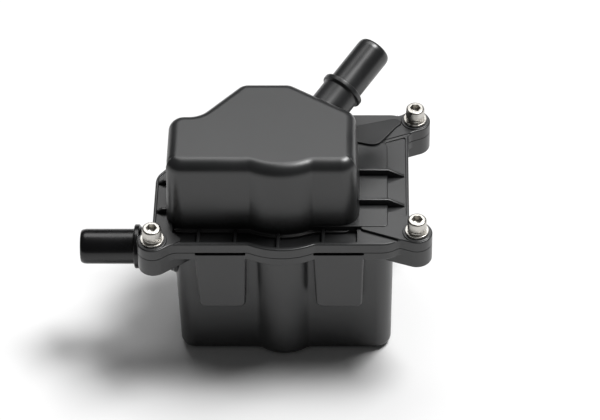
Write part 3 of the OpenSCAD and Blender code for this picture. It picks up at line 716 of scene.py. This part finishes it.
def reservoir_shape():
    """The can with its flange, ears, pads and the inlet's seat."""
    ears = [
        loft(rounded(stretched(arm_discs(corner, CAN_ARM))), wall(-CAN_EAR_T, -ROOT_Z, foot=0.7))
        for corner in EARS
    ]
    flange = loft(rounded(PLATE), wall(-CAN_FLANGE_T, 0, foot=0.6, top=0.3))
    outside = combined(
        loft(rounded(CAN), can_levels()),
        adds=[flange] + [pad(x) for x in PADS_X] + [inlet_boss()] + ears)
    seat_inset = CAN_WALL - TRAY_SEAT_W
    seat_r = INLET_PLUG_R + INLET_PLUG_GAP
    cuts = [
        loft(rounded(CAN), can_levels(floor=CAN_FLOOR, wall_t=CAN_WALL, top=CUT_CLEAR)),
        loft(rounded(CAN), [(-TRAY_SEAT_DEPTH, seat_inset), (CUT_CLEAR, seat_inset)]),
    ]
    cuts += [pad_slot(x) for x in PADS_X]
    cuts.append(turned([
        (seat_r, -INLET_STEM - INLET_PLUG_SEAT_HALF), (seat_r, -INLET_STEM + INLET_PLUG_SEAT_HALF)], INLET))
    cuts += [
        hole(centre, INSERT_D + HOLE_CLEAR, -INSERT_HOLE_DEPTH, CUT_CLEAR)
        for centre, _, _ in EARS.values()
    ]
    return combined(outside, cuts=cuts + [seal_groove()])


def inlet_shape():
    """The inlet tube with its plug, open from end to end."""
    bore_r = PASSAGE_D / 2
    root = -INLET_STEM - CAN_WALL - INLET_PLUG_OVER
    plug = [(bore_r, root), (INLET_PLUG_R, root), (INLET_PLUG_R, -INLET_STEM + INLET_BOSS_H)]
    mouth = [(bore_r + 0.5, TUBE_LEN), (bore_r, TUBE_LEN - MOUTH_EDGE)]
    return turned(plug + tube_profile(INLET_STEM - INLET_BOSS_H) + mouth, INLET, closed=True)


# Fasteners


def screw_shape(centre):
    """A socket head screw with a knurled head and a plain shank."""
    place = standing(centre, HEAD_Z)
    around = np.linspace(0, 2 * math.pi, KNURLS * KNURL_POINTS, endpoint=False)
    grooves = KNURL_DEPTH * (0.5 - 0.5 * np.cos(KNURLS * around))
    # Height, inset from the head's radius, and share of the knurling's depth
    levels = [
        (0, 0.45, 0), (0.25, 0.15, 0), (0.45, 0, 1), (HEAD_H - 0.8, 0, 1), (HEAD_H - 0.5, 0.12, 0.3),
        (HEAD_H - 0.2, 0.4, 0), (HEAD_H - 0.05, 0.7, 0), (HEAD_H, 1, 0),
    ]
    rings = []
    for z, inset, cut in levels:
        radii = HEAD_D / 2 - inset - cut * grooves
        heights = np.full(len(around), z)
        rings.append(np.column_stack([radii * np.cos(around), radii * np.sin(around), heights]))
    shank_r = SCREW_D / 2
    shank = [(shank_r - SCREW_TIP, -SCREW_LEN), (shank_r, -SCREW_LEN + SCREW_TIP), (shank_r, 0.5)]
    across = SOCKET_AF / 2 / math.cos(math.pi / 6)
    floor = HEAD_H - SOCKET_DEPTH
    flared = (1.12, HEAD_H), (1.12, HEAD_H + CUT_CLEAR)
    socket = [
        [(scale * across * math.cos(k * math.pi / 3), scale * across * math.sin(k * math.pi / 3), z)
         for k in range(6)]
        for scale, z in ((0.05, floor - 0.6), (1, floor), (1, HEAD_H - 0.25), *flared)
    ]
    return combined(solid(rings, place), adds=[turned(shank, place)], cuts=[solid(socket, place)])


def ring_profile(outer, inner, low, high, r=0.2):
    """Closed outline of a washer's section, with rounded edges."""
    return rounded([((inner, low), r), ((outer, low), r), ((outer, high), r), ((inner, high), r)])(0)


def washer_shape(centre):
    section = ring_profile(WASHER_D / 2, WASHER_HOLE_D / 2, 0, WASHER_T)
    return turned(section, standing(centre, WASHER_Z), closed=True)


def lock_washer_shape(centre, turn):
    """A split ring whose ends stand a little apart."""
    top = LOCK_WASHER_T - LOCK_WASHER_PLAY - LOCK_WASHER_LIFT
    section = ring_profile(LOCK_WASHER_D / 2, WASHER_HOLE_D / 2, LOCK_WASHER_PLAY, top, r=0.15)
    rings = []
    for t in np.linspace(LOCK_WASHER_GAP / 2, 2 * math.pi - LOCK_WASHER_GAP / 2, LOCK_WASHER_STEPS):
        lift = LOCK_WASHER_LIFT * t / (2 * math.pi)
        rings.append([(r * math.cos(t + turn), r * math.sin(t + turn), z + lift) for r, z in section])
    return solid(rings, standing(centre, LOCK_Z))


# Materials

NOISE_RANGE = (0.3, 0.7)
TONE_SCALE, GRAIN_SCALE, TONE_SWING = 45, 2600, 0.15
METAL_RELIEF = 4e-6


def toned(colour, factor):
    """A colour made lighter or darker."""
    return tuple(factor * channel for channel in colour)


def new_material(name, colour, roughness, metallic=0.0, ior=1.5):
    material = bpy.data.materials.new(name)
    material.use_nodes = True
    shader = material.node_tree.nodes["Principled BSDF"]
    shader.inputs["Base Color"].default_value = (*colour, 1)
    shader.inputs["Roughness"].default_value = roughness
    shader.inputs["Metallic"].default_value = metallic
    shader.inputs["IOR"].default_value = ior
    return material


def noise(material, scale, detail=4.0, stretch=(1, 1, 1)):
    """Noise over the piece's own metres."""
    nodes, links = material.node_tree.nodes, material.node_tree.links
    where = nodes.new("ShaderNodeTexCoord")
    mapping = nodes.new("ShaderNodeMapping")
    mapping.inputs["Scale"].default_value = stretch
    texture = nodes.new("ShaderNodeTexNoise")
    texture.inputs["Scale"].default_value = scale
    texture.inputs["Detail"].default_value = detail
    links.new(where.outputs["Object"], mapping.inputs["Vector"])
    links.new(mapping.outputs["Vector"], texture.inputs["Vector"])
    return texture.outputs["Fac"]


def spread(material, factor, low, high):
    """A number from low to high, following a factor over its usual range."""
    nodes, links = material.node_tree.nodes, material.node_tree.links
    scale = nodes.new("ShaderNodeMapRange")
    scale.inputs["From Min"].default_value, scale.inputs["From Max"].default_value = NOISE_RANGE
    scale.inputs["To Min"].default_value = low
    scale.inputs["To Max"].default_value = high
    links.new(factor, scale.inputs["Value"])
    return scale.outputs["Result"]


def tint(material, factor, low, high):
    """A colour from low to high, following a factor over its usual range."""
    nodes, links = material.node_tree.nodes, material.node_tree.links
    ramp = nodes.new("ShaderNodeValToRGB")
    for element, position, colour in zip(ramp.color_ramp.elements, NOISE_RANGE, (low, high)):
        element.position = position
        element.color = (*colour, 1)
    links.new(factor, ramp.inputs["Fac"])
    return ramp.outputs["Color"]


def relief(material, factor, height):
    """A bump of a given height in metres."""
    nodes, links = material.node_tree.nodes, material.node_tree.links
    bump = nodes.new("ShaderNodeBump")
    bump.inputs["Strength"].default_value = 1
    bump.inputs["Distance"].default_value = height
    links.new(factor, bump.inputs["Height"])
    return bump.outputs["Normal"]


def wire(material, output, socket):
    """Leads an output to one of the shader's inputs."""
    shader = material.node_tree.nodes["Principled BSDF"]
    material.node_tree.links.new(output, shader.inputs[socket])


def moulded(name, colour, roughness, grain_height, ior=1.5):
    """Moulded plastic: a fine eroded grain, and slow changes of tone and gloss."""
    material = new_material(name, colour, roughness, ior=ior)
    slow = noise(material, TONE_SCALE, 3)
    grain = noise(material, GRAIN_SCALE, 2)
    dark, light = toned(colour, 1 - TONE_SWING), toned(colour, 1 + TONE_SWING)
    wire(material, tint(material, slow, dark, light), "Base Color")
    wire(material, spread(material, slow, roughness - 0.05, roughness + 0.05), "Roughness")
    wire(material, relief(material, grain, grain_height), "Normal")
    return material


def metal(name, colour, roughness, scale, stretch=(1, 1, 1)):
    """Machined metal: fine marks in its tone, gloss and surface."""
    material = new_material(name, colour, roughness, metallic=1)
    marks = noise(material, scale, 5, stretch)
    wire(material, tint(material, marks, toned(colour, 1 - TONE_SWING), colour), "Base Color")
    wire(material, spread(material, marks, roughness - 0.06, roughness + 0.08), "Roughness")
    wire(material, relief(material, marks, METAL_RELIEF), "Normal")
    return material


PLASTIC = moulded("black_plastic", (0.018, 0.0186, 0.0192), 0.34, 8e-6, ior=1.6)
INNER_PLASTIC = moulded("inner_plastic", (0.04, 0.04, 0.042), 0.6, 8e-6)
GLOSS = moulded("gloss_plastic", (0.004, 0.004, 0.0045), 0.27, 2e-6)
STEEL = metal("stainless_steel", (0.62, 0.6, 0.56), 0.3, 900, (1, 1, 0.2))
SLEEVE_STEEL = metal("zinc_steel", (0.6, 0.6, 0.6), 0.35, 900)
BRASS = metal("brass", (0.72, 0.5, 0.22), 0.3, 700)
RUBBER = moulded("rubber", (0.02, 0.02, 0.02), 0.75, 1e-5)
MESH = metal("knitted_wire", (0.45, 0.45, 0.46), 0.4, 1200)


def dress_frame():
    """Materials for the CAD nodes that stay as they are."""
    kinds = {
        "seal": RUBBER, "baffle_tray": INNER_PLASTIC, "mesh_retainer": INNER_PLASTIC, "mesh_pack": MESH,
        "clamp_sleeve": SLEEVE_STEEL, "threaded_insert": BRASS,
    }
    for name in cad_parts:
        for kind, material in kinds.items():
            if name.startswith(kind):
                mesh = bpy.data.objects[name].data
                mesh.materials.clear()
                mesh.materials.append(material)


# Stage, in the frame's metres

FLOOR_HALF = 6
OBJECT_MIDDLE = (0, 0, 0.05)
CAMERA_PITCH = math.radians(44)
CAMERA_PLACE = to_row((39.2, -921.9, 916.8))
LENS_MM, SENSOR_MM = 176.3, 36
# The photo's width, and the column of its pixels at which the camera's axis lies
IMAGE_WIDTH, AXIS_PIXEL = 600, 370


def make_floor():
    half = FLOOR_HALF
    mesh = bpy.data.meshes.new("floor")
    corners = [(-half, -half, 0), (half, -half, 0), (half, half, 0), (-half, half, 0)]
    mesh.from_pydata(corners, [], [(0, 1, 2, 3)])
    floor = bpy.data.objects.new("floor", mesh)
    bpy.context.scene.collection.objects.link(floor)
    material = new_material("paper", (0.9, 0.9, 0.9), 0.9)
    clouds = noise(material, 3, 2)
    wire(material, tint(material, clouds, (0.89, 0.89, 0.89), (0.91, 0.91, 0.91)), "Base Color")
    mesh.materials.append(material)


def make_lamp(name, place, size, power):
    """A white softbox that points at the object's middle."""
    lamp = bpy.data.lights.new(name, "AREA")
    lamp.shape = "RECTANGLE"
    lamp.size, lamp.size_y = size
    lamp.energy = power
    holder = bpy.data.objects.new(name, lamp)
    holder.location = place
    aim = Vector(OBJECT_MIDDLE) - Vector(place)
    holder.rotation_euler = aim.to_track_quat("-Z", "Y").to_euler()
    bpy.context.scene.collection.objects.link(holder)


def make_world(level):
    world = bpy.data.worlds.new("studio")
    world.use_nodes = True
    background = world.node_tree.nodes["Background"]
    background.inputs["Color"].default_value = (1, 1, 1, 1)
    background.inputs["Strength"].default_value = level
    bpy.context.scene.world = world


def make_camera():
    camera = bpy.data.cameras.new("camera")
    camera.lens = LENS_MM
    camera.sensor_width = SENSOR_MM
    camera.shift_x = (IMAGE_WIDTH / 2 - AXIS_PIXEL) / IMAGE_WIDTH
    camera.clip_end = 30
    holder = bpy.data.objects.new("camera", camera)
    holder.location = CAMERA_PLACE
    holder.rotation_euler = (math.pi / 2 - CAMERA_PITCH, 0, 0)
    bpy.context.scene.collection.objects.link(holder)
    bpy.context.scene.camera = holder


make_camera()
make_floor()
make_world(0.06)
make_lamp("key", (1.05, 0.65, 2.85), (1.1, 1.1), 98)
make_lamp("back", (-0.2, 1.6, 2.5), (1.8, 1.5), 26)
bpy.context.scene.view_settings.view_transform = "Standard"

dress_frame()
piece(cover_shape(), "cover_moulding", "cover", PLASTIC)
piece(reservoir_shape(), "reservoir_moulding", "reservoir", PLASTIC)
piece(inlet_shape(), "inlet_tube", "inlet_spigot", GLOSS)
for number, (corner, (centre, _, _)) in enumerate(EARS.items()):
    screw, washer = screw_shape(centre), washer_shape(centre)
    lock_washer = lock_washer_shape(centre, FIRST_SPLIT_TURN + number)
    piece(screw, f"socket_screw_{corner}", f"cap_screw_{corner}", STEEL)
    piece(lock_washer, f"spring_washer_{corner}", f"lock_washer_{corner}", STEEL)
    piece(washer, f"plain_washer_{corner}", f"flat_washer_{corner}", STEEL)
